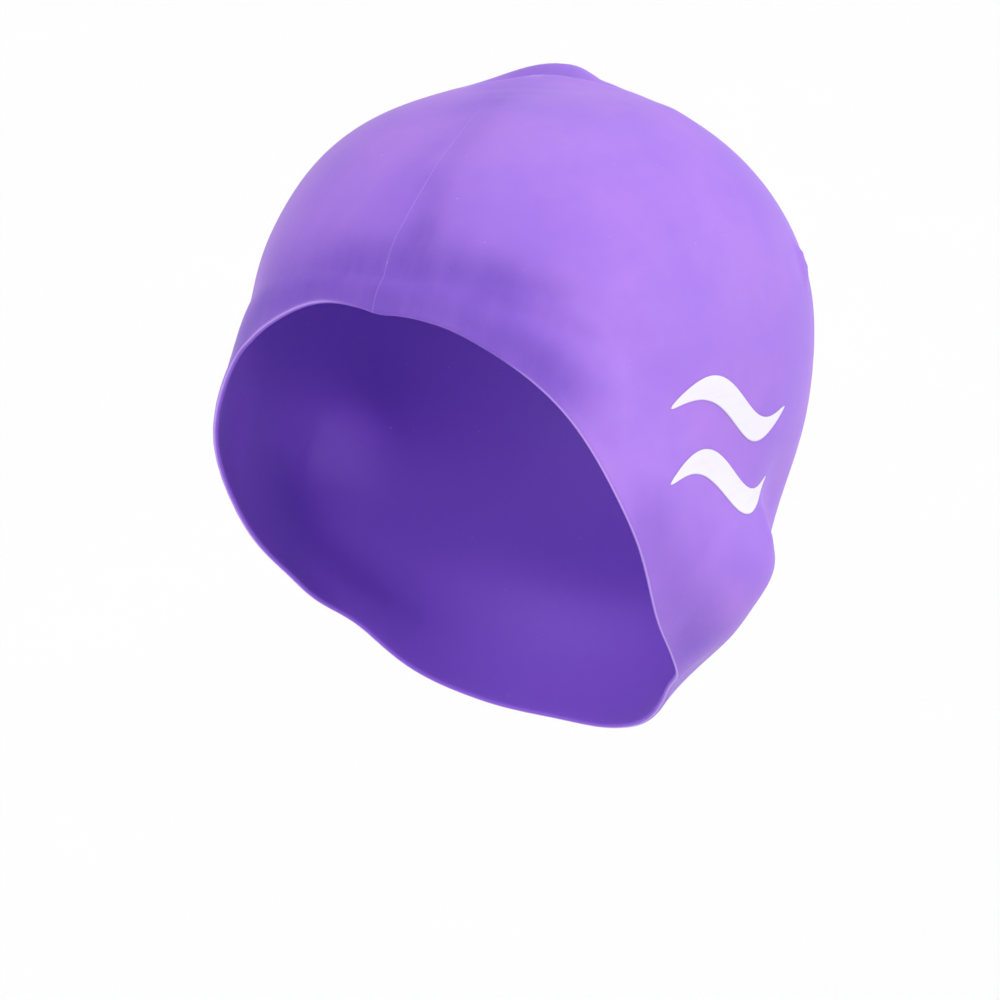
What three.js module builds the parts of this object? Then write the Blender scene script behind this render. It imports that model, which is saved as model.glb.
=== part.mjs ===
// Swim cap in its worn shape: a single moulded silicone shell, with a flat white wave print
// on the wearer's left side.
// Millimetres, +Z up. The wearer faces -Y and the wearer's left side is +X.
// The origin is on the inside of the crown, straight above the centre of the form.
import * as THREE from 'three';

// Overall sizes of the worn cap, outside
const CAP_WIDTH = 160;
const CAP_DEPTH = 186;
const CAP_RISE = 117;

// Shell thickness, and the rolled bead that ends it all round the opening
const WALL = 1.2;
const BEAD = 2.0;
const BEAD_BLEND = 4.0;

// The crown pole of the form leans back from upright, in degrees
const POLE_LEAN_ANGLE = 30;

// Depths and heights of the main folds
const CREASE_DEPTH = 1.2;
const BAND_LIP = 1.2;
// Half width of the forehead crease in degrees, and the part of the band that its lip takes
const CREASE_SPREAD_ANGLE = 4;
const LIP_SPREAD = 0.35;
// The crease and the lip fade out at this direction from the front, in degrees
const CREASE_END_ANGLE = 55;
const EAR_BULGE = 6.5;
const EAR_HOLLOW = 5.0;
const CROWN_FOLD = 7.5;
const VALLEY_DEPTH = 1.4;
const NAPE_TUCK = 3.0;
const RIM_FLARE = 1.2;
const RIM_STEP = 1.5;
// The cap sits a little turned: its opening is this many degrees lower on the right side
const RIM_SKEW_ANGLE = 0.6;

// Side print: two wave strokes, each a thin film that follows the shell
const PRINT_LENGTH = 54;
const PRINT_STROKE = 9.5;
const PRINT_SWING = 12;
const PRINT_PITCH = 21;
const PRINT_FILM = 0.5;
const PRINT_GAP = 0.6;
// Width of a stroke's ends as a share of its middle
const PRINT_END = 0.12;
// Middle of the print in side view, forward of the form's centre and above it
const PRINT_FORWARD = 0;
const PRINT_HEIGHT = 21;
const PRINT_SLANT_ANGLE = 12;

// Mesh steps
const STEPS_AROUND = 96;
const CROWN_STEPS = 16;
const BAND_STEPS = 10;
const BEAD_STEPS = 4;
// The inner skin is plainer and has this many fewer rings above and below the crease
const INNER_SAVING = { crown: 3, band: 2 };
// Rings of the crown are this much wider apart at the pole than at the crease
const CROWN_GRADING = 0.12;
const PRINT_STEPS = 30;
const PRINT_ROWS = 4;

// Meridians of the form: radius at each angle from the pole, as a share of FORM_UNIT
const FORM_UNIT = 100;
const MERIDIANS = [
  { angle: 0, front: 1.17, side: 1.17, back: 1.17 },
  { angle: 20, front: 1.12, side: 1.175, back: 1.16 },
  { angle: 40, front: 1.07, side: 1.09, back: 1.10 },
  { angle: 60, front: 1.01, side: 0.92, back: 1.00 },
  { angle: 80, front: 0.92, side: 0.80, back: 0.93 },
  { angle: 100, front: 0.93, side: 0.80, back: 0.87 },
  { angle: 120, front: 0.93, side: 0.785, back: 0.90 },
  { angle: 140, front: 0.92, side: 0.78, back: 0.97 },
];
const WIDEST_SHARE = 0.80;
const DEEPEST_SHARE = 0.93;
const POLE_SHARE = 1.17;
// Rings are ellipses at the pole and a little squarer from this angle down
const SQUARENESS = 2.1;
const SQUARE_FROM_ANGLE = 60;

// Where the opening and the forehead crease run: angle from the pole, by direction from the front
const RIM_LINE = [
  { around: 0, rim: 74.5, crease: 69 },
  { around: 20, rim: 77, crease: 69 },
  { around: 40, rim: 84.5, crease: 70 },
  { around: 60, rim: 100.5, crease: 74 },
  { around: 80, rim: 115.5, crease: 82 },
  { around: 100, rim: 122, crease: 88 },
  { around: 120, rim: 125.5, crease: 92 },
  { around: 140, rim: 129.5, crease: 94 },
  { around: 160, rim: 130, crease: 94 },
  { around: 180, rim: 129.5, crease: 94 },
];

// Swellings and hollows of the shell. Height is a share of the named size. Places and spreads are
// in degrees: before and behind are along the head, above and below are down from the pole.
// Those of the sides are the same on the left and the right.
const SIDE_SWELLS = [
  { size: EAR_BULGE, share: 1, around: 107, down: 95, before: 12, behind: 10, above: 7, below: 13 },
  { size: EAR_BULGE, share: 0.25, around: 118, down: 108, before: 12, behind: 12, above: 6, below: 6 },
  { size: EAR_HOLLOW, share: -1, around: 115, down: 81, before: 12, behind: 12, above: 9, below: 7 },
  { size: EAR_HOLLOW, share: -0.35, around: 76, down: 95, before: 7, behind: 7, above: 12, below: 12 },
  { size: NAPE_TUCK, share: -0.9, around: 126, down: 122, before: 10, behind: 14, above: 6, below: 6 },
  { size: RIM_FLARE, share: 1, around: 109, down: 122, before: 8, behind: 8, above: 6, below: 6 },
];
const MIDDLE_SWELLS = [
  { size: VALLEY_DEPTH, share: -1, around: 4, down: 62, before: 4, behind: 4, above: 7, below: 7 },
  { size: NAPE_TUCK, share: -1, around: 180, down: 104, before: 34, behind: 34, above: 9, below: 9 },
];

// Small steps of the rim at the middle of the forehead: places and spreads in degrees
const RIM_STEPS = [
  { share: -1, around: -13, wide: 8 },
  { share: 0.6, around: -1, wide: 3 },
];

// Loose folds on top of the crown, seen along the pole: places and spreads are shares of FORM_UNIT
const CROWN_FOLDS = [
  { share: 1.02, across: -0.10, along: 0.06, wide: 0.17, deep: 0.11 },
  { share: 0.12, across: -0.10, along: 0.06, wide: 0.06, deep: 0.08 },
  { share: 0.15, across: -0.10, along: 0.26, wide: 0.20, deep: 0.08 },
  { share: -0.22, across: -0.34, along: 0.24, wide: 0.16, deep: 0.15 },
  { share: 0.14, across: -0.68, along: 0.42, wide: 0.13, deep: 0.13 },
];

const DEGREE = Math.PI / 180;
// Angle over which slopes of the surface are measured, in degrees
const SMALL_TURN_ANGLE = 0.4;
const lean = POLE_LEAN_ANGLE * DEGREE;
const ACROSS = new THREE.Vector3(1, 0, 0);
const POLE = new THREE.Vector3(0, Math.sin(lean), Math.cos(lean));
const FRONT = new THREE.Vector3(0, -Math.cos(lean), Math.sin(lean));
const stretchAcross = CAP_WIDTH / (2 * WIDEST_SHARE * FORM_UNIT);
const stretchAlong = CAP_DEPTH / (2 * DEEPEST_SHARE * FORM_UNIT);
const stretchUp = CAP_RISE / (POLE_SHARE * FORM_UNIT);

// Smooth curve through the evenly spaced values of one table
function through(values, place) {
  const last = values.length - 1;
  const clamped = Math.min(Math.max(place, 0), last);
  const i = Math.min(Math.floor(clamped), last - 1);
  const f = clamped - i;
  const p1 = values[i];
  const p2 = values[i + 1];
  const p0 = i > 0 ? values[i - 1] : 2 * p1 - p2;
  const p3 = i + 2 <= last ? values[i + 2] : 2 * p2 - p1;
  const bend = 2 * p0 - 5 * p1 + 4 * p2 - p3;
  const twist = 3 * (p1 - p2) + p3 - p0;
  return p1 + 0.5 * f * (p2 - p0 + f * (bend + f * twist));
}

// Front and back meridians are one curve over the pole, and so are the two sides
const meridianStep = MERIDIANS[1].angle;
const foreAndAft = MERIDIANS.slice(1).reverse().map((row) => row.back)
  .concat(MERIDIANS.map((row) => row.front));
const sideToSide = MERIDIANS.slice(1).reverse().map((row) => row.side)
  .concat(MERIDIANS.map((row) => row.side));
const poleIndex = MERIDIANS.length - 1;

const lineStep = RIM_LINE[1].around;
const mirrorRow = (rows) => [rows[1]].concat(rows, [rows[rows.length - 2]]);
const rimAngles = mirrorRow(RIM_LINE.map((row) => row.rim));
const creaseAngles = mirrorRow(RIM_LINE.map((row) => row.crease));

const bell = (distance, spread) => Math.exp(-((distance / spread) ** 2));
const lopsidedBell = (offset, low, high) => bell(offset, offset < 0 ? low : high);

function rimAngle(around) {
  const skew = RIM_SKEW_ANGLE * Math.sin(around * DEGREE);
  const smooth = through(rimAngles, Math.abs(around) / lineStep + 1) - skew;
  const perLength = 1 / (FORM_UNIT * DEGREE);
  return RIM_STEPS.reduce((sum, row) => sum
    + RIM_STEP * row.share * perLength * bell(around - row.around, row.wide), smooth);
}

function creaseAngle(around) {
  const skew = 2 * RIM_SKEW_ANGLE * Math.sin(around * DEGREE);
  return through(creaseAngles, Math.abs(around) / lineStep + 1) - skew;
}

function wrap(angle) {
  return angle - 360 * Math.round(angle / 360);
}

// Radius of the plain form, before the folds
function plainRadius(around, down) {
  const towardsFront = Math.cos(around * DEGREE);
  const towardsSide = Math.sin(around * DEGREE);
  const place = down / meridianStep;
  const near = through(foreAndAft, poleIndex + (towardsFront > 0 ? place : -place));
  const side = through(sideToSide, poleIndex + place);
  const squareness = 2 + (SQUARENESS - 2) * Math.min(down / SQUARE_FROM_ANGLE, 1);
  const sum = (Math.abs(towardsFront) / near) ** squareness
    + (Math.abs(towardsSide) / side) ** squareness;
  return FORM_UNIT * sum ** (-1 / squareness);
}

// Height of one swelling, at an offset along the head from its middle
function swellHeight(swell, offset, down) {
  return swell.size * swell.share * lopsidedBell(offset, swell.before, swell.behind)
    * lopsidedBell(down - swell.down, swell.above, swell.below);
}

// Height of all the folds together
function folds(around, down) {
  let height = 0;
  for (const swell of SIDE_SWELLS) {
    height += swellHeight(swell, Math.abs(around) - swell.around, down);
  }
  for (const swell of MIDDLE_SWELLS) {
    height += swellHeight(swell, wrap(around - swell.around), down);
  }
  const across = Math.sin(down * DEGREE) * Math.sin(around * DEGREE);
  const along = Math.sin(down * DEGREE) * Math.cos(around * DEGREE);
  for (const fold of CROWN_FOLDS) {
    const acrossBell = bell(across - fold.across, fold.wide);
    height += CROWN_FOLD * fold.share * acrossBell * bell(along - fold.along, fold.deep);
  }
  const past = down - creaseAngle(around);
  const downBand = past / (rimAngle(around) - creaseAngle(around));
  const fade = 1 / (1 + (around / CREASE_END_ANGLE) ** 6);
  height -= CREASE_DEPTH * fade * bell(past, CREASE_SPREAD_ANGLE);
  height += BAND_LIP * fade * bell(downBand - 0.5, LIP_SPREAD);
  return height;
}

// Outer surface of the shell, in the frame of the form's centre
function outside(around, down) {
  const radius = plainRadius(around, down) + folds(around, down);
  const ring = radius * Math.sin(down * DEGREE);
  const across = ring * Math.sin(around * DEGREE) * stretchAcross;
  const along = ring * Math.cos(around * DEGREE) * stretchAlong;
  const up = radius * Math.cos(down * DEGREE) * stretchUp;
  return new THREE.Vector3()
    .addScaledVector(ACROSS, across)
    .addScaledVector(FRONT, along)
    .addScaledVector(POLE, up);
}

// Outward normal and the direction down the shell, away from the pole
function surfaceFrame(around, down) {
  const safeDown = Math.max(down, SMALL_TURN_ANGLE);
  const below = outside(around, safeDown + SMALL_TURN_ANGLE);
  const above = outside(around, safeDown - SMALL_TURN_ANGLE);
  const slope = below.sub(above).normalize();
  const left = outside(around + SMALL_TURN_ANGLE, safeDown);
  const turn = left.sub(outside(around - SMALL_TURN_ANGLE, safeDown)).normalize();
  const normal = down < SMALL_TURN_ANGLE ? POLE.clone() : slope.clone().cross(turn).normalize();
  return { normal, slope };
}

const seat = outside(0, POLE_LEAN_ANGLE);
const seatFrame = surfaceFrame(0, POLE_LEAN_ANGLE);
const origin = seat.clone().addScaledVector(seatFrame.normal, -WALL);

function onShell(around, down, lift) {
  const { normal } = surfaceFrame(around, down);
  return outside(around, down).addScaledVector(normal, lift).sub(origin);
}

// Angles from the pole of the rings of the shell, in one direction
function ringAngles(around, crownSteps, bandSteps) {
  const crease = creaseAngle(around);
  const rim = rimAngle(around);
  const angles = [];
  for (let i = 1; i <= crownSteps; i++) {
    const f = i / crownSteps;
    angles.push(crease * f * (1 + CROWN_GRADING * (1 - f)));
  }
  for (let i = 1; i <= bandSteps; i++) {
    angles.push(crease + (rim - crease) * i / bandSteps);
  }
  return angles;
}

// One column of the shell from the outer pole, round the bead, back to the inner pole
function shellColumn(around) {
  const column = [];
  const rim = rimAngle(around);
  const bead = BEAD / 2;
  const halfWall = WALL / 2;
  const swell = (down) => {
    const distance = (rim - down) * DEGREE * FORM_UNIT;
    const near = Math.max(0, 1 - distance / BEAD_BLEND);
    return (bead - halfWall) * near * near * (3 - 2 * near);
  };
  for (const down of ringAngles(around, CROWN_STEPS, BAND_STEPS)) {
    column.push(onShell(around, down, swell(down)));
  }
  const { normal, slope } = surfaceFrame(around, rim);
  const middle = onShell(around, rim, -halfWall);
  for (let i = 1; i < BEAD_STEPS; i++) {
    const turn = Math.PI * i / BEAD_STEPS;
    column.push(middle.clone()
      .addScaledVector(normal, bead * Math.cos(turn))
      .addScaledVector(slope, bead * Math.sin(turn)));
  }
  const crownSteps = CROWN_STEPS - INNER_SAVING.crown;
  const bandSteps = BAND_STEPS - INNER_SAVING.band;
  for (const down of ringAngles(around, crownSteps, bandSteps).reverse()) {
    column.push(onShell(around, down, -WALL - swell(down)));
  }
  return column;
}

// Closed body from columns that share their two end points
function closedBody(columns, firstEnd, lastEnd) {
  const rows = columns[0].length;
  const count = columns.length;
  const points = [firstEnd, lastEnd].concat(...columns);
  const at = (column, row) => 2 + (column % count) * rows + row;
  const faces = [];
  for (let c = 0; c < count; c++) {
    faces.push(0, at(c, 0), at(c + 1, 0));
    for (let r = 0; r < rows - 1; r++) {
      faces.push(at(c, r), at(c, r + 1), at(c + 1, r + 1));
      faces.push(at(c, r), at(c + 1, r + 1), at(c + 1, r));
    }
    faces.push(at(c, rows - 1), 1, at(c + 1, rows - 1));
  }
  return bodyFrom(points, faces);
}

function bodyFrom(points, faces) {
  const geometry = new THREE.BufferGeometry();
  const places = points.flatMap((p) => [p.x, p.y, p.z]);
  geometry.setAttribute('position', new THREE.Float32BufferAttribute(places, 3));
  geometry.setIndex(faces);
  geometry.computeVertexNormals();
  return geometry;
}

function shellGeometry() {
  const columns = [];
  for (let i = 0; i < STEPS_AROUND; i++) {
    columns.push(shellColumn(wrap(360 * i / STEPS_AROUND)));
  }
  return closedBody(columns, onShell(0, 0, 0), onShell(0, 0, -WALL));
}

// Where the search for a point of the left side starts, in degrees, and its passes
const SIDE_START = { around: 90, down: 80 };
const SIDE_PASSES = 12;

// Point of the shell on the left side, found from its place in side view
function sidePoint(forward, height, lift) {
  let { around, down } = SIDE_START;
  for (let pass = 0; pass < SIDE_PASSES; pass++) {
    const here = outside(around, down);
    const stepAround = outside(around + 1, down).sub(here);
    const stepDown = outside(around, down + 1).sub(here);
    const missY = -forward - here.y;
    const missZ = height - here.z;
    const area = stepAround.y * stepDown.z - stepAround.z * stepDown.y;
    around += (missY * stepDown.z - missZ * stepDown.y) / area;
    down += (stepAround.y * missZ - stepAround.z * missY) / area;
  }
  return onShell(around, down, lift);
}

// A wave stroke: a strip that swings up and down along its length and tapers to both ends
function waveGeometry(rise) {
  const slant = PRINT_SLANT_ANGLE * DEGREE;
  const layers = [PRINT_GAP, PRINT_GAP + PRINT_FILM];
  const points = [];
  const perStation = PRINT_ROWS + 1;
  for (const lift of layers) {
    for (let i = 0; i <= PRINT_STEPS; i++) {
      const f = i / PRINT_STEPS;
      const centre = PRINT_SWING * Math.sin(2 * Math.PI * f) / 2;
      const width = PRINT_STROKE * (PRINT_END + (1 - PRINT_END) * Math.sin(Math.PI * f));
      for (let j = 0; j < perStation; j++) {
        const x = PRINT_LENGTH * (0.5 - f);
        const y = centre + width * (j / PRINT_ROWS - 0.5) + rise;
        const forward = PRINT_FORWARD + x * Math.cos(slant) - y * Math.sin(slant);
        const height = PRINT_HEIGHT + x * Math.sin(slant) + y * Math.cos(slant);
        points.push(sidePoint(forward, height, lift));
      }
    }
  }
  const layer = (PRINT_STEPS + 1) * perStation;
  const at = (top, i, j) => top * layer + i * perStation + j;
  const faces = [];
  for (let i = 0; i < PRINT_STEPS; i++) {
    for (let j = 0; j < PRINT_ROWS; j++) {
      faces.push(at(1, i, j), at(1, i + 1, j), at(1, i + 1, j + 1));
      faces.push(at(1, i, j), at(1, i + 1, j + 1), at(1, i, j + 1));
      faces.push(at(0, i, j), at(0, i + 1, j + 1), at(0, i + 1, j));
      faces.push(at(0, i, j), at(0, i, j + 1), at(0, i + 1, j + 1));
    }
    faces.push(at(0, i, 0), at(0, i + 1, 0), at(1, i + 1, 0));
    faces.push(at(0, i, 0), at(1, i + 1, 0), at(1, i, 0));
    faces.push(at(0, i, PRINT_ROWS), at(1, i + 1, PRINT_ROWS), at(0, i + 1, PRINT_ROWS));
    faces.push(at(0, i, PRINT_ROWS), at(1, i, PRINT_ROWS), at(1, i + 1, PRINT_ROWS));
  }
  for (let j = 0; j < PRINT_ROWS; j++) {
    const end = PRINT_STEPS;
    faces.push(at(0, 0, j), at(1, 0, j), at(1, 0, j + 1));
    faces.push(at(0, 0, j), at(1, 0, j + 1), at(0, 0, j + 1));
    faces.push(at(0, end, j), at(1, end, j + 1), at(1, end, j));
    faces.push(at(0, end, j), at(0, end, j + 1), at(1, end, j + 1));
  }
  return bodyFrom(points, faces);
}

function piece(name, geometry, material) {
  const mesh = new THREE.Mesh(geometry, material);
  mesh.name = name;
  return mesh;
}

const silicone = new THREE.MeshStandardMaterial({ color: 0xa673ea, roughness: 0.45, metalness: 0 });
silicone.name = 'silicone';
const printInk = new THREE.MeshStandardMaterial({ color: 0xf6f1fd, roughness: 0.5, metalness: 0 });
printInk.name = 'print_ink';

const cap = new THREE.Group();
cap.name = 'swim_cap';
cap.add(piece('cap_shell', shellGeometry(), silicone));
cap.add(piece('upper_wave_print', waveGeometry(PRINT_PITCH / 2), printInk));
cap.add(piece('lower_wave_print', waveGeometry(-PRINT_PITCH / 2), printInk.clone()));

export default cap;
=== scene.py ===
# %% [markdown]
# # A silicone swim cap in its worn shape
# The real cap is one thin skin of soft silicone, made in a two-part mould. Worn, it takes a rounded
# shape with a bulge over each ear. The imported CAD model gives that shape, and this lesson dresses
# it: a finer skin with its small folds, the printed waves, a satin silicone and a flat ink, and a
# pale studio round them.

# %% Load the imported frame
import math

import bmesh
import bpy
import numpy as np
from mathutils import Matrix, Vector
from mathutils.bvhtree import BVHTree
from mathutils.kdtree import KDTree


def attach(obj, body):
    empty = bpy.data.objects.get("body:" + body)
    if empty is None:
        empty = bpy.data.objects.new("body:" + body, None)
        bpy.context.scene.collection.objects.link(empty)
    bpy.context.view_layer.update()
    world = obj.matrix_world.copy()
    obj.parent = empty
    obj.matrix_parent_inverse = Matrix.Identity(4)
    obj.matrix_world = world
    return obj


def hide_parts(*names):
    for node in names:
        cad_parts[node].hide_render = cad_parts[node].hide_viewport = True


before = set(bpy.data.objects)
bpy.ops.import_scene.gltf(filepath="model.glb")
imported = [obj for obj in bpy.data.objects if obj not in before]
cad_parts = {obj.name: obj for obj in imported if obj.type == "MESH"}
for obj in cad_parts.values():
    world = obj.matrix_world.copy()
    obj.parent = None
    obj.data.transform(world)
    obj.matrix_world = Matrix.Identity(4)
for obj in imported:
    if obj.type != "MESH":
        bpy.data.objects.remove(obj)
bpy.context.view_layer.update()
MM = 0.001
scene = bpy.context.scene
print("CAD nodes:", sorted(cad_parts))

# %% [markdown]
# ## The camera
# The photograph looks at the cap from its front left, from a little above. The camera is placed by
# two angles and a distance from the middle of the cap, the point that its shape is measured from.

# %% Camera
CAP_MIDDLE = Vector((0.0, -0.0002, -0.1084))
VIEW_AZIMUTH = math.radians(32.5)
VIEW_RISE = math.radians(17.4)
VIEW_DISTANCE = 1.3
PIXELS_PER_MM = 3.4
FRAME_PIXELS = 1000
SENSOR_MM = 36.0
# the frame's middle beside the cap's middle, as shares of the frame
SHIFT_ACROSS = 0.0012
SHIFT_UP = -0.0282

back = Vector((
    math.sin(VIEW_AZIMUTH) * math.cos(VIEW_RISE),
    -math.cos(VIEW_AZIMUTH) * math.cos(VIEW_RISE),
    math.sin(VIEW_RISE),
))
right = Vector((math.cos(VIEW_AZIMUTH), math.sin(VIEW_AZIMUTH), 0.0))
upward = back.cross(right)
camera_data = bpy.data.cameras.new("view_camera")
camera_data.sensor_width = SENSOR_MM
camera_data.lens = SENSOR_MM * PIXELS_PER_MM * VIEW_DISTANCE / MM / FRAME_PIXELS
camera_data.shift_x = SHIFT_ACROSS
camera_data.shift_y = SHIFT_UP
camera = bpy.data.objects.new("view_camera", camera_data)
turn = Matrix((right, upward, back)).transposed()
camera.matrix_world = Matrix.Translation(CAP_MIDDLE + back * VIEW_DISTANCE) @ turn.to_4x4()
scene.collection.objects.link(camera)
scene.camera = camera
print("lens", round(camera_data.lens, 1), "mm")

# %% [markdown]
# ## Shader sums written as Python
# A material here is mostly sums on numbers that change over the surface. This small class wraps one
# socket, so that `1 - mask * 0.3` adds the Math nodes by itself. Every other node comes from the
# bench's `add`, which takes its type, its settings and what goes into its sockets.

# %% Shader helpers
class Wire:
    """One socket of a node tree, for use in sums."""

    def __init__(self, bench, socket):
        self.bench = bench
        self.socket = socket

    def sum_node(self, operation, first, second=None):
        inputs = {0: first}
        if second is not None:
            inputs[1] = second
        return self.bench.add("ShaderNodeMath", {"operation": operation}, inputs)["Value"]

    def __add__(self, other):
        return self.sum_node("ADD", self, other)

    def __radd__(self, other):
        return self.sum_node("ADD", other, self)

    def __sub__(self, other):
        return self.sum_node("SUBTRACT", self, other)

    def __rsub__(self, other):
        return self.sum_node("SUBTRACT", other, self)

    def __mul__(self, other):
        return self.sum_node("MULTIPLY", self, other)

    def __rmul__(self, other):
        return self.sum_node("MULTIPLY", other, self)

    def __abs__(self):
        return self.sum_node("ABSOLUTE", self)

    def ramp(self, low, high):
        """0 below low, 1 above high, smooth between."""
        settings = {"interpolation_type": "SMOOTHSTEP"}
        inputs = {"Value": self, "From Min": low, "From Max": high}
        return self.bench.add("ShaderNodeMapRange", settings, inputs)["Result"]


class Bench:
    """A material being made."""

    def __init__(self, name):
        self.material = bpy.data.materials.new(name)
        self.material.use_nodes = True
        self.tree = self.material.node_tree
        self.tree.nodes.clear()
        self.place = self.add("ShaderNodeTexCoord")["Object"]

    def add(self, kind, settings=None, inputs=None):
        node = self.tree.nodes.new(kind)
        for key, value in (settings or {}).items():
            setattr(node, key, value)
        for key, value in (inputs or {}).items():
            port = self.port(node, key)
            if isinstance(value, Wire):
                self.tree.links.new(value.socket, port)
            else:
                port.default_value = value
        return {socket.name: Wire(self, socket) for socket in node.outputs if socket.enabled}

    def port(self, node, key):
        """An input by its number, or by its name among those in use."""
        if isinstance(key, int):
            return node.inputs[key]
        return next(socket for socket in node.inputs if socket.enabled and socket.name == key)

    def axes(self):
        return self.add("ShaderNodeSeparateXYZ", None, {"Vector": self.place})

    def stretched(self, scale):
        return self.add("ShaderNodeMapping", None, {"Vector": self.place, "Scale": scale})["Vector"]

    def noise(self, scale, detail=3.0, roughness=0.5, place=None):
        inputs = {"Vector": place or self.place, "Scale": scale,
                  "Detail": detail, "Roughness": roughness}
        return self.add("ShaderNodeTexNoise", None, inputs)["Fac"]

    def specks(self, scale, keep, size):
        """Scattered dots: one cell in a few keeps its dot."""
        inputs = {"Vector": self.place, "Scale": scale}
        cells = self.add("ShaderNodeTexVoronoi", {"feature": "F1"}, inputs)
        chance = self.add("ShaderNodeSeparateColor", None, {"Color": cells["Color"]})["Red"]
        kept = chance.ramp(1.0 - keep, 1.0 - keep * 0.8)
        return kept * (1 - cells["Distance"].ramp(size * 0.5, size))

    def blend(self, amount, first, second):
        inputs = {"Factor": amount, "A": first, "B": second}
        return self.add("ShaderNodeMix", {"data_type": "RGBA"}, inputs)["Result"]

    def bump(self, height, strength, distance, under=None):
        inputs = {"Height": height, "Strength": strength, "Distance": distance}
        if under is not None:
            inputs["Normal"] = under
        return self.add("ShaderNodeBump", None, inputs)["Normal"]

    def finish(self, varying, constant):
        inputs = dict(constant)
        inputs.update(varying)
        shader = self.add("ShaderNodeBsdfPrincipled", None, inputs)["BSDF"]
        self.add("ShaderNodeOutputMaterial", None, {"Surface": shader})
        return self.material


def colour(red, green, blue):
    """A screen colour, 0 to 255, as the linear colour that a shader wants."""
    channels = []
    for value in (red, green, blue):
        share = value / 255
        channels.append(share / 12.92 if share < 0.04045 else ((share + 0.055) / 1.055) ** 2.4)
    return (*channels, 1.0)

# %% [markdown]
# ## The skin
# The CAD shell has flat faces about 5 mm across. A copy of it is merged, its triangles are joined
# into four-sided faces, and two rounds of subdivision make it as smooth as moulded silicone. The
# modifier's result is kept as a plain mesh, because the small folds are pressed into it afterwards.

# %% A fine copy of the shell
SKIN_ROUNDS = 2
MERGE_DISTANCE = 0.005 * MM
JOIN_ANGLE = math.radians(60)


def add_object(name, mesh):
    piece = bpy.data.objects.new(name, mesh)
    scene.collection.objects.link(piece)
    return piece


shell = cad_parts["cap_shell"]
coarse = bmesh.new()
coarse.from_mesh(shell.data)
bmesh.ops.remove_doubles(coarse, verts=coarse.verts, dist=MERGE_DISTANCE)
bmesh.ops.join_triangles(
    coarse, faces=coarse.faces, angle_face_threshold=JOIN_ANGLE,
    angle_shape_threshold=JOIN_ANGLE)
sides = [len(face.verts) for face in coarse.faces]
print("faces", len(sides), "four-sided", sides.count(4), "open edges",
      sum(not edge.is_manifold for edge in coarse.edges))
coarse_mesh = bpy.data.meshes.new("skin_coarse")
coarse.to_mesh(coarse_mesh)
coarse.free()
skin = add_object("cap_skin", coarse_mesh)
smoother = skin.modifiers.new("smoother", "SUBSURF")
smoother.levels = SKIN_ROUNDS
smoother.render_levels = SKIN_ROUNDS
bpy.context.view_layer.update()
fine_mesh = bpy.data.meshes.new_from_object(
    skin.evaluated_get(bpy.context.evaluated_depsgraph_get()))
skin.modifiers.clear()
skin.data = fine_mesh
fine_mesh.name = "cap_skin"
print("skin faces", len(fine_mesh.polygons))

# %% [markdown]
# ## Small folds
# Where the silicone is a little loose it puckers: a dent beside the mould line, a fine ridge along
# the forehead band, a sharp fold behind the top of the crown, and two small ridges at the back.
# A small swell fills the upper end of the hollow behind each ear. Each of these is a path on the
# skin with a width and a height, and the skin is pushed out or in around it.
# At the middle of the forehead the edge of the band also sags a little, with a small step at the
# mould line.

# %% Press the folds into the skin
# path in mm in the row frame, half width across, height (minus is a dent)
SMALL_FOLDS = [
    {"path": [(6.0, -52, -24), (4.6, -58, -32)], "width": 3.8, "height": -1.1},
    {"path": [(1.8, -39, -12), (4.6, -50, -22)], "width": 5.0, "height": -0.5},
    {"path": [(0, -25, -5), (-4, 2, 2)], "width": 5.0, "height": -0.5},
    {"path": [(18, -60, -36), (28, -56, -37), (37, -52, -38), (50, -44, -43), (56, -40, -46)],
     "width": 3.2, "height": 0.6},
    {"path": [(-9, -59, -34), (4, -58, -31), (20, -57, -32), (34, -52, -35), (46, -45, -38)],
     "width": 4.5, "height": -0.5},
    {"path": [(-19, 22, 1), (-11, 34, 2), (-3, 39, 2), (5, 42, 1), (12, 43, 0)],
     "width": 4.0, "height": 0.5},
    {"path": [(-23, 29, 2), (-15, 41, 4), (-7, 46, 4), (1, 49, 3), (8, 50, 1)],
     "width": 4.0, "height": -2.0},
    {"path": [(-14, 15, 2), (-3, 23, 2), (8, 28, 2)], "width": 2.2, "height": -0.25},
    {"path": [(-11, 8, 2), (1, 15, 2)], "width": 2.2, "height": -0.2},
    {"path": [(30, 46, -5), (39, 42, -6)], "width": 5.0, "height": 0.5},
    {"path": [(69, 54, -45), (71, 56, -50)], "width": 2.8, "height": 1.5},
    {"path": [(79, 20, -114), (80, 18, -118)], "width": 4.5, "height": 1.3},
    {"path": [(-79, 20, -114), (-80, 18, -118)], "width": 4.5, "height": 1.3},
]
# path in mm, half width across, and how far the edge of the band hangs down there
EDGE_DROPS = [
    {"path": [(-46, -58, -60), (-37, -61, -53), (-26, -63, -47), (-12, -65, -43), (6, -66, -43)],
     "width": 9.0, "drop": 1.1},
    {"path": [(6, -66, -43), (16, -65, -44)], "width": 7.0, "drop": 0.5},
    {"path": [(1, -66, -43), (4, -66, -43)], "width": 2.2, "drop": 0.4},
]


def distance_to(points, path):
    """Distance in metres of every point from a path given in mm."""
    nearest = np.full(len(points), np.inf)
    for first, second in zip(path, path[1:]):
        start = np.array(first) * MM
        line = np.array(second) * MM - start
        share = np.clip((points - start) @ line / (line @ line), 0, 1)
        away = np.linalg.norm(points - start - share[:, None] * line, axis=1)
        nearest = np.minimum(nearest, away)
    return nearest


def fold_height(points, fold):
    away = distance_to(points, fold["path"]) / (fold["width"] * MM)
    return fold["height"] * MM * np.exp(-away ** 2)


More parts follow.
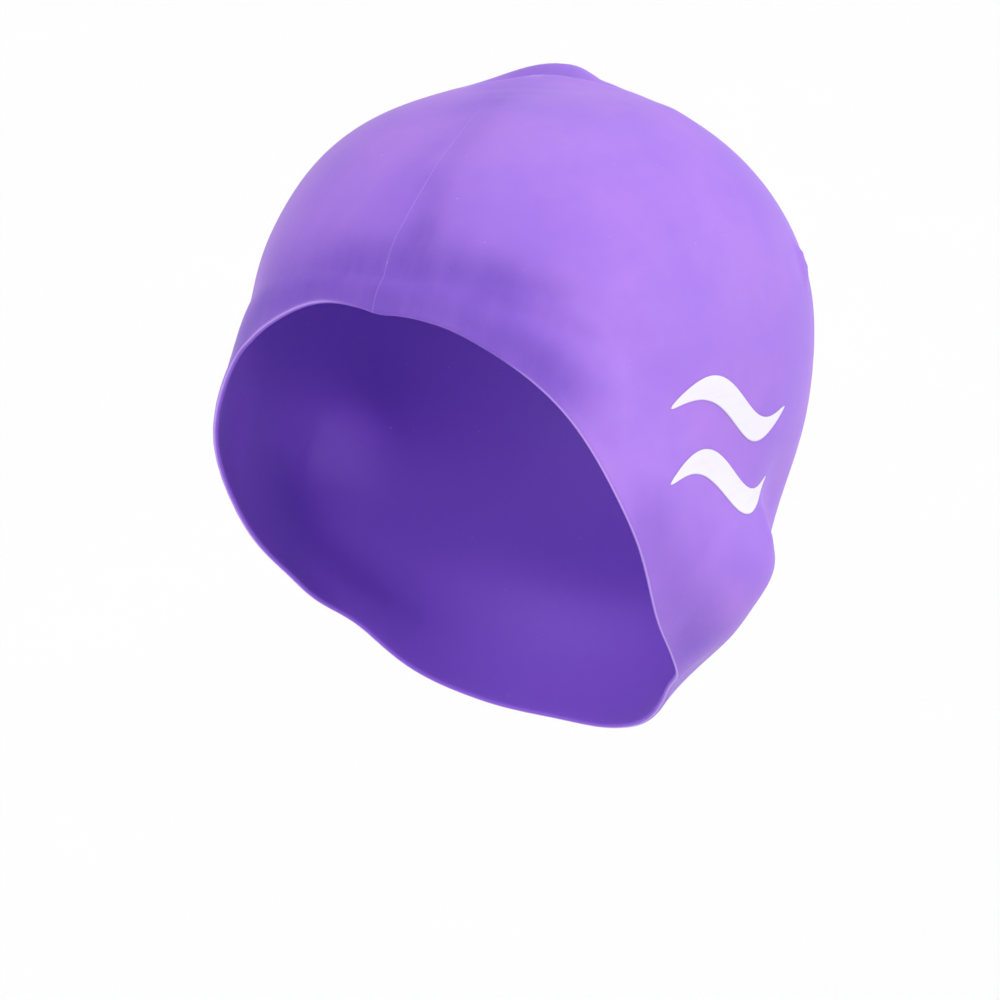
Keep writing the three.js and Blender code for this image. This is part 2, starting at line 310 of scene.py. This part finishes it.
places = np.empty(len(fine_mesh.vertices) * 3)
fine_mesh.vertices.foreach_get("co", places)
places = places.reshape(-1, 3)
normals = np.empty(len(places) * 3)
fine_mesh.vertices.foreach_get("normal", normals)
normals = normals.reshape(-1, 3)
outwards = places - np.array(CAP_MIDDLE)
outwards /= np.linalg.norm(outwards, axis=1, keepdims=True)
pushed = sum(fold_height(places, fold) for fold in SMALL_FOLDS)
folded = places + outwards * pushed[:, None]
for row in EDGE_DROPS:
    away = distance_to(places, row["path"]) / (row["width"] * MM)
    folded[:, 2] -= row["drop"] * MM * np.exp(-away ** 2)
fine_mesh.vertices.foreach_set("co", folded.ravel())
fine_mesh.update()
fine_mesh.shade_smooth()
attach(skin, "root")
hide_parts("cap_shell")
print("deepest dent", round(pushed.min() / MM, 2), "mm, highest", round(pushed.max() / MM, 2), "mm")

# %% [markdown]
# ## Where the silicone is slack, and where shade and light are painted
# Stretched silicone is thinner and paler. Where it is slack, along the forehead band and all over
# the inside, the pigment is denser and its purple deeper. The same deeper purple is laid on as
# painted shade in the creases, the dents, the valley behind the crown fold and the hollows in front
# of the ears, and a few patches paint light where the sides face the lamps. Each vertex is given
# that value, from 0 to 1, as an attribute that the material reads. A pale painted highlight runs
# along the outer shoulder of the rim's rolled bead, left out at the middle of the forehead, and
# along the edge of the crown fold; below its shoulder the bead is dense. How far each point faces
# away from the middle of the cap tells the outer skin, the bead and the inner skin apart.

# %% Slackness and painted shading of every vertex
# path in mm, half width of the patch, and how slack its middle is: deeper purple of slack silicone
# and painted shade in creases, dents and hollows (minus is paler: painted light)
SLACK_AND_SHADING_PATCHES = [
    # the forehead band: deeper tone of slack silicone, partly painted shade of a band that faces
    # away from the lamps
    {"path": [(-52, -56, -64), (-44, -57, -50), (-27, -62, -43), (0, -66, -40), (24, -63, -43),
              (38, -60, -49), (47, -56, -56), (49, -55, -60)], "width": 14.0, "slack_and_shading": 0.9},
    # painted shade along the crease above the forehead band
    {"path": [(-12, -59, -34), (4, -58, -31), (18, -57, -32), (32, -53, -35)],
     "width": 8.0, "slack_and_shading": 0.75},
    {"path": [(32, -53, -35), (45, -46, -38)], "width": 6.0, "slack_and_shading": 0.4},
    # painted shade in the dent beside the mould line and along the valley from the forehead to the
    # crown
    {"path": [(6, -52, -24), (4, -58, -32)], "width": 5.5, "slack_and_shading": 0.65},
    {"path": [(3, -40, -13), (5, -50, -22)], "width": 6.0, "slack_and_shading": 0.2},
    {"path": [(3, -45, -17), (-1, -22, -4), (-6, 5, 2), (-10, 25, 3)], "width": 11.0, "slack_and_shading": 0.3},
    {"path": [(-9, -4, 1), (-7, 4, 2)], "width": 7.0, "slack_and_shading": 0.25},
    # painted shade in the valley behind the crown fold
    {"path": [(-19, 41, 4), (-6, 47, 4)], "width": 7.0, "slack_and_shading": 0.6},
    # painted shade in the hollow in front of each ear
    {"path": [(74, -35, -101), (74, -30, -114), (74, -20, -129), (70, -8, -144)],
     "width": 11.0, "slack_and_shading": 0.4},
    {"path": [(-74, -35, -101), (-74, -30, -114), (-74, -20, -129), (-70, -8, -144)],
     "width": 11.0, "slack_and_shading": 0.4},
    # deeper tone along the nape edge, partly painted shade below each ear
    {"path": [(70, -8, -144), (67, 4, -152), (46, 13, -178), (0, 31, -195)],
     "width": 10.0, "slack_and_shading": 0.55},
    {"path": [(-70, -8, -144), (-67, 4, -152), (-46, 13, -178), (0, 31, -195)],
     "width": 10.0, "slack_and_shading": 0.55},
    # painted light where the wearer's left side faces the side lamp
    {"path": [(62, -35, -52), (71, -28, -70), (74, -28, -85)], "width": 22.0, "slack_and_shading": -0.25},
    # painted light on the bulge over each ear
    {"path": [(80, -4, -120), (81, 6, -131)], "width": 12.0, "slack_and_shading": -0.3},
    {"path": [(-80, -4, -120), (-81, 6, -131)], "width": 12.0, "slack_and_shading": -0.3},
]
BASE_SLACK = 0.15
INNER_SLACK = 0.9
# the painted highlight of the bead is left out along the middle of the forehead rim
RIM_WITHOUT_HIGHLIGHT = [(-4, -66, -41), (10, -66, -41), (24, -63, -43), (38, -60, -49)]
RIM_WITHOUT_HIGHLIGHT_WIDTH = 11.0
BEAD_REACH = 1.3 * MM
BEAD_EDGE = 0.3
SHOULDER_FACING = 0.5
SHOULDER_SPREAD = 0.3
# A painted highlight along the edge of the crown fold
HIGHLIGHT_RIDGE = [(-24, 21, 0), (-22, 25, 1), (-19, 28, 2), (-16, 33, 2), (-10, 36, 3)]
HIGHLIGHT_RIDGE_WIDTH = 2.2
HIGHLIGHT_RIDGE_SHARE = 0.45


def distance_to_nearest(points, targets):
    tree = KDTree(len(targets))
    for number, target in enumerate(targets):
        tree.insert(target, number)
    tree.balance()
    return np.array([tree.find(point)[2] for point in points])


tight_and_lit = np.full(len(places), 1 - BASE_SLACK)
for patch in SLACK_AND_SHADING_PATCHES:
    away = distance_to(places, patch["path"]) / (patch["width"] * MM)
    tight_and_lit *= 1 - patch["slack_and_shading"] * np.exp(-away ** 2)
facing = np.sum(normals * outwards, axis=1)
inner = facing < 0
bead_distance = distance_to_nearest(places, places[np.abs(facing) < BEAD_EDGE])
near_bead = np.exp(-(bead_distance / BEAD_REACH) ** 2)
rim_unhighlighted = np.exp(-(distance_to(places, RIM_WITHOUT_HIGHLIGHT) / (RIM_WITHOUT_HIGHLIGHT_WIDTH * MM)) ** 2)
shoulder = np.exp(-((facing - SHOULDER_FACING) / SHOULDER_SPREAD) ** 2)
ridge_highlight = np.exp(-(distance_to(places, HIGHLIGHT_RIDGE) / (HIGHLIGHT_RIDGE_WIDTH * MM)) ** 2)
# painted highlight on the outer shoulder of the bead and along the edge of the crown fold
painted_highlight = near_bead * shoulder * (1 - rim_unhighlighted) + HIGHLIGHT_RIDGE_SHARE * ridge_highlight * (facing > 0)
slack_and_shading = np.where(inner, INNER_SLACK, np.clip(1 - tight_and_lit, 0, 1))
for name, values in (("slack_and_shading", slack_and_shading), ("inside", 1.0 * inner), ("painted_highlight", painted_highlight)):
    fine_mesh.attributes.new(name, "FLOAT", "POINT").data.foreach_set("value", values)
print("inner vertices", int(inner.sum()), "mean slackness outside", round(slack_and_shading[~inner].mean(), 2),
      "pale bead vertices", int((painted_highlight > 0.5).sum()))

# %% [markdown]
# ## Silicone
# Pigmented silicone is nearly matt and lets a little light into itself, so shadows in its hollows
# stay coloured. Its gloss is broad. A bloom like fine powder lightens it where it turns away, and
# dust sticks to it as pale specks. Where it is slack, and where shade is painted into creases,
# dents and hollows, its deeper tone isn't even but smeared across; painted highlights lie along the
# rim's bead and the crown fold. The two halves of the mould leave one hair-thin line along the
# middle of the cap, from the forehead over the crown.

# %% Silicone material
SKIN_LIGHT = colour(157, 112, 206)
SKIN_CLOUD = colour(146, 104, 204)
# deep purple of slack silicone, also laid on as painted shade
SKIN_SLACK_AND_SHADE = colour(110, 72, 178)
SKIN_INSIDE = colour(128, 84, 200)
# pale tone for dust specks and the mould line, and the colour of the painted highlights
SKIN_PALE_DUST_AND_HIGHLIGHT = colour(196, 166, 240)
SHEEN_TINT = (0.93, 0.86, 1.0, 1.0)
# How strongly each detail colours the skin
INSIDE_SHARE = 0.9
HIGHLIGHT_SHARE = 0.7
LINE_SHARE = 0.16
DUST_SHARE = 0.5
FINE_DUST_SHARE = 0.25
SATIN = 0.56
# The mould line: half width of its core and of its soft edge, its place beside the middle, and how
# far it drifts to the wearer's right on its way over the crown
LINE_CORE = 0.05 * MM
LINE_EDGE = 0.3 * MM
LINE_SIDE = 0.6 * MM
LINE_DRIFT = 8.8 * MM
# It starts to drift and to fade this far in front of the origin, and does both over these lengths
LINE_START = 45 * MM
DRIFT_RUN = 75 * MM
FADE_RUN = 60 * MM
FADE_SHARE = 0.85
# It steps aside a little where it climbs over the crease of the forehead band
CREASE_LOW = 38 * MM
CREASE_HIGH = 30 * MM
CREASE_STEP = 0.8 * MM

silicone = Bench("silicone")
axes = silicone.axes()
side, along, height = axes["X"], axes["Y"], axes["Z"]
clouds = silicone.noise(22.0, 4.0, 0.6)
smears = silicone.noise(1.0, 4.0, 0.65, silicone.stretched((110.0, 35.0, 35.0)))
grain = silicone.noise(900.0, 2.0, 0.6)
ripple = silicone.noise(1.0, 3.0, 0.5, silicone.stretched((70.0, 14.0, 14.0)))
dust = silicone.specks(150.0, 0.10, 0.05)
fine_dust = silicone.specks(420.0, 0.05, 0.12)
above_crease = (height + CREASE_HIGH).ramp(0.0, 12 * MM)
crease = (height + CREASE_LOW).ramp(0.0, 6 * MM) * (1 - above_crease)
drift = (along + LINE_START).ramp(0.0, DRIFT_RUN) * LINE_DRIFT
line_side = LINE_SIDE - drift - crease * CREASE_STEP
off_line = abs(side - line_side)
fading = 1 - (along + LINE_START).ramp(0.0, FADE_RUN) * FADE_SHARE
mould_line = (1 - off_line.ramp(LINE_CORE, LINE_EDGE)) * height.ramp(-0.16, -0.12) * fading
slack_and_shading_share = silicone.add("ShaderNodeAttribute", {"attribute_name": "slack_and_shading"})["Fac"]
base = silicone.blend(clouds.ramp(0.35, 0.65), SKIN_CLOUD, SKIN_LIGHT)
# deeper purple of slack silicone and painted shade, smeared; paler where light is painted
base = silicone.blend(slack_and_shading_share * (smears * 0.7 + 0.65), base, SKIN_SLACK_AND_SHADE)
inside = silicone.add("ShaderNodeAttribute", {"attribute_name": "inside"})["Fac"]
base = silicone.blend(inside * INSIDE_SHARE, base, SKIN_INSIDE)
# painted highlight along the bead and the crown fold
painted_highlight = silicone.add("ShaderNodeAttribute", {"attribute_name": "painted_highlight"})["Fac"]
base = silicone.blend(painted_highlight * HIGHLIGHT_SHARE, base, SKIN_PALE_DUST_AND_HIGHLIGHT)
base = silicone.blend(mould_line * LINE_SHARE, base, SKIN_PALE_DUST_AND_HIGHLIGHT)
base = silicone.blend(dust * DUST_SHARE + fine_dust * FINE_DUST_SHARE, base, SKIN_PALE_DUST_AND_HIGHLIGHT)
satin = SATIN + (grain - 0.5) * 0.10 + (clouds - 0.5) * 0.10 + dust * 0.2
swell = silicone.bump(ripple, 0.25, 0.0006)
pores = silicone.bump(grain, 0.12, 0.0001, swell)
relief = silicone.bump(mould_line * 0.7 + dust * 0.3, 0.5, 0.0002, pores)
silicone_finish = silicone.finish(
    {"Base Color": base, "Roughness": satin, "Normal": relief},
    {"IOR": 1.41, "Specular IOR Level": 0.40, "Subsurface Weight": 0.20,
     "Subsurface Radius": (1.0, 0.55, 1.3), "Subsurface Scale": 0.003,
     "Sheen Weight": 0.08, "Sheen Roughness": 0.4, "Sheen Tint": SHEEN_TINT})
skin.data.materials.clear()
skin.data.materials.append(silicone_finish)
print("silicone nodes", len(silicone.tree.nodes))

# %% [markdown]
# ## The printed waves
# The print is a film of white ink, about a tenth of a millimetre thick. Each wave starts as a flat
# grid from `create_grid`. Its points are swung into the wave in side view and dropped on the skin
# along X, and `solidify` gives the film its thickness and its edge.

# %% Wave films
PRINT_LENGTH = 54 * MM
PRINT_STROKE = 9.5 * MM
PRINT_SWING = 12 * MM
PRINT_PITCH = 21 * MM
PRINT_END = 0.12
PRINT_SLANT = math.radians(12)
PRINT_MIDDLE = Vector((0.0, 0.0, CAP_MIDDLE.z + 21 * MM))
FILM = 0.12 * MM
FILM_LIFT = 0.03 * MM
FILM_STEPS = 90
FILM_ROWS = 16
# A high power keeps a stroke's full width almost to its end, and rounds only the tip
TIP_POWER = 24
TIP_MERGE = 0.01 * MM
OUTSIDE_LEFT = 0.15

skin_tree = BVHTree.FromPolygons(
    [vertex.co for vertex in skin.data.vertices],
    [polygon.vertices for polygon in skin.data.polygons])


def wave_film(name, rise):
    film = bmesh.new()
    bmesh.ops.create_grid(film, x_segments=FILM_STEPS, y_segments=FILM_ROWS, size=1.0)
    for vertex in film.verts:
        share = (1 - vertex.co.x) / 2
        swing = PRINT_SWING * math.sin(2 * math.pi * share) / 2
        body = PRINT_END + (1 - PRINT_END) * math.sin(math.pi * share)
        tip = math.sqrt(max(0.0, 1 - abs(vertex.co.x) ** TIP_POWER))
        forward = vertex.co.x * PRINT_LENGTH / 2
        up = swing + rise + vertex.co.y * PRINT_STROKE * body * tip / 2
        y = PRINT_MIDDLE.y - forward * math.cos(PRINT_SLANT) + up * math.sin(PRINT_SLANT)
        z = PRINT_MIDDLE.z + forward * math.sin(PRINT_SLANT) + up * math.cos(PRINT_SLANT)
        spot, normal, _, _ = skin_tree.ray_cast(
            Vector((OUTSIDE_LEFT, y, z)), Vector((-1, 0, 0)))
        vertex.co = spot + normal * FILM_LIFT
        vertex.normal = normal
    bmesh.ops.remove_doubles(film, verts=film.verts, dist=TIP_MERGE)
    bmesh.ops.recalc_face_normals(film, faces=film.faces)
    if sum(face.normal.x for face in film.faces) < 0:
        bmesh.ops.reverse_faces(film, faces=film.faces)
    bmesh.ops.solidify(film, geom=film.faces, thickness=-FILM)
    bmesh.ops.recalc_face_normals(film, faces=film.faces)
    mesh = bpy.data.meshes.new(name)
    film.to_mesh(mesh)
    film.free()
    mesh.shade_smooth()
    piece = add_object(name, mesh)
    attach(piece, "root")
    print(name, "faces", len(mesh.polygons))
    return piece


upper_wave = wave_film("upper_wave_ink", PRINT_PITCH / 2)
lower_wave = wave_film("lower_wave_ink", -PRINT_PITCH / 2)
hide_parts("upper_wave_print")
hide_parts("lower_wave_print")

# %% [markdown]
# ## Ink
# Ink on silicone is a flat white with a breath of the purple below it, a little rougher than the
# skin, with pinholes and a faint drag from the printing pad.

# %% Ink material
INK_WHITE = colour(213, 209, 221)
INK_THIN = colour(206, 196, 222)

ink = Bench("print_ink")
drag = ink.noise(1.0, 2.0, 0.5, ink.stretched((40.0, 60.0, 420.0)))
speckle = ink.noise(1600.0, 2.0, 0.6)
pinholes = ink.specks(700.0, 0.06, 0.22)
thin = drag.ramp(0.45, 0.80) * 0.35 + pinholes * 0.5
ink_colour = ink.blend(thin, INK_WHITE, INK_THIN)
ink_relief = ink.bump(speckle + drag * 0.5 - pinholes, 0.25, 0.00006)
ink_finish = ink.finish(
    {"Base Color": ink_colour, "Roughness": 0.5 + (speckle - 0.5) * 0.15, "Normal": ink_relief},
    {"IOR": 1.45, "Specular IOR Level": 0.4})
for wave in (upper_wave, lower_wave):
    wave.data.materials.append(ink_finish)
print("ink nodes", len(ink.tree.nodes))

# %% [markdown]
# ## The studio
# A white room in effect: a pale floor far below, a white world, and large soft lamps. The cap keeps
# its worn height, and the floor is so low that the camera sees no shadow of it there.

# %% Floor and world
FLOOR_LEVEL = -0.75
FLOOR_REACH = 150.0
STUDIO_SIDES = 64
WORLD_STRENGTH = 0.66
WHITE = (1.0, 1.0, 1.0, 1.0)
floor_shape = bmesh.new()
bmesh.ops.create_circle(floor_shape, cap_ends=True, segments=STUDIO_SIDES, radius=FLOOR_REACH)
bmesh.ops.translate(floor_shape, verts=floor_shape.verts, vec=(0, 0, FLOOR_LEVEL))
floor_mesh = bpy.data.meshes.new("studio_floor")
floor_shape.to_mesh(floor_mesh)
floor_shape.free()
floor = add_object("studio_floor", floor_mesh)
paper = Bench("studio_paper")
paper_tone = paper.blend(paper.noise(3.0), colour(220, 220, 220), colour(218, 218, 218))
floor.data.materials.append(paper.finish({"Base Color": paper_tone}, {"Roughness": 0.9}))

world = bpy.data.worlds.new("studio_world")
world.use_nodes = True
sky = world.node_tree.nodes["Background"]
sky.inputs["Color"].default_value = WHITE
sky.inputs["Strength"].default_value = WORLD_STRENGTH
scene.world = world
scene.view_settings.view_transform = "Standard"
print("floor level", FLOOR_LEVEL, "m, world strength", WORLD_STRENGTH)

# %% [markdown]
# ## The backdrop
# Seen from low down, the floor ends in front of a grey world. A real studio hangs white paper
# there. This one is a ring of paper that gives its own white and that only the camera sees, so the
# light on the cap stays as it is.

# %% A ring of white paper round the studio
PAPER_REACH = 12.0
PAPER_HEIGHT = 8.0
ring_shape = bmesh.new()
bmesh.ops.create_circle(ring_shape, cap_ends=False, segments=STUDIO_SIDES, radius=PAPER_REACH)
raised = bmesh.ops.extrude_edge_only(ring_shape, edges=ring_shape.edges[:])["geom"]
ring_top = [item for item in raised if isinstance(item, bmesh.types.BMVert)]
bmesh.ops.translate(ring_shape, verts=ring_top, vec=(0, 0, PAPER_HEIGHT))
bmesh.ops.translate(ring_shape, verts=ring_shape.verts, vec=(0, 0, FLOOR_LEVEL))
ring_mesh = bpy.data.meshes.new("studio_backdrop")
ring_shape.to_mesh(ring_mesh)
ring_shape.free()
backdrop = add_object("studio_backdrop", ring_mesh)
backdrop.visible_diffuse = False
backdrop.visible_glossy = False
backdrop.visible_transmission = False
backdrop.visible_shadow = False
glow = Bench("backdrop_paper")
glow_tone = glow.blend(glow.noise(0.5), colour(254, 254, 254), colour(253, 253, 253))
backdrop.data.materials.append(glow.finish(
    {"Emission Color": glow_tone},
    {"Base Color": colour(0, 0, 0), "Roughness": 1.0, "Specular IOR Level": 0.0,
     "Emission Strength": 1.0}))
print("backdrop faces", len(ring_mesh.polygons))

# %% Soft lamps
# turn from the front towards the wearer's left, height and width of each soft lamp, in degrees
LAMPS = [
    {"name": "left_side_lamp", "turn": 112, "height": 15, "wide": 60, "power": 2.2},
    {"name": "crown_lamp", "turn": 180, "height": 70, "wide": 60, "power": 1.1},
    {"name": "front_lamp", "turn": 0, "height": 30, "wide": 60, "power": 1.3},
]
for row in LAMPS:
    lamp_data = bpy.data.lights.new(row["name"], "SUN")
    lamp_data.angle = math.radians(row["wide"])
    lamp_data.energy = row["power"]
    lamp = bpy.data.objects.new(row["name"], lamp_data)
    turn_round = math.radians(row["turn"])
    rise = math.radians(row["height"])
    aim = Vector((math.sin(turn_round) * math.cos(rise), -math.cos(turn_round) * math.cos(rise),
                  math.sin(rise)))
    lamp.location = CAP_MIDDLE + aim
    lamp.rotation_euler = aim.to_track_quat("Z", "Y").to_euler()
    scene.collection.objects.link(lamp)
print("lamps", len(LAMPS))
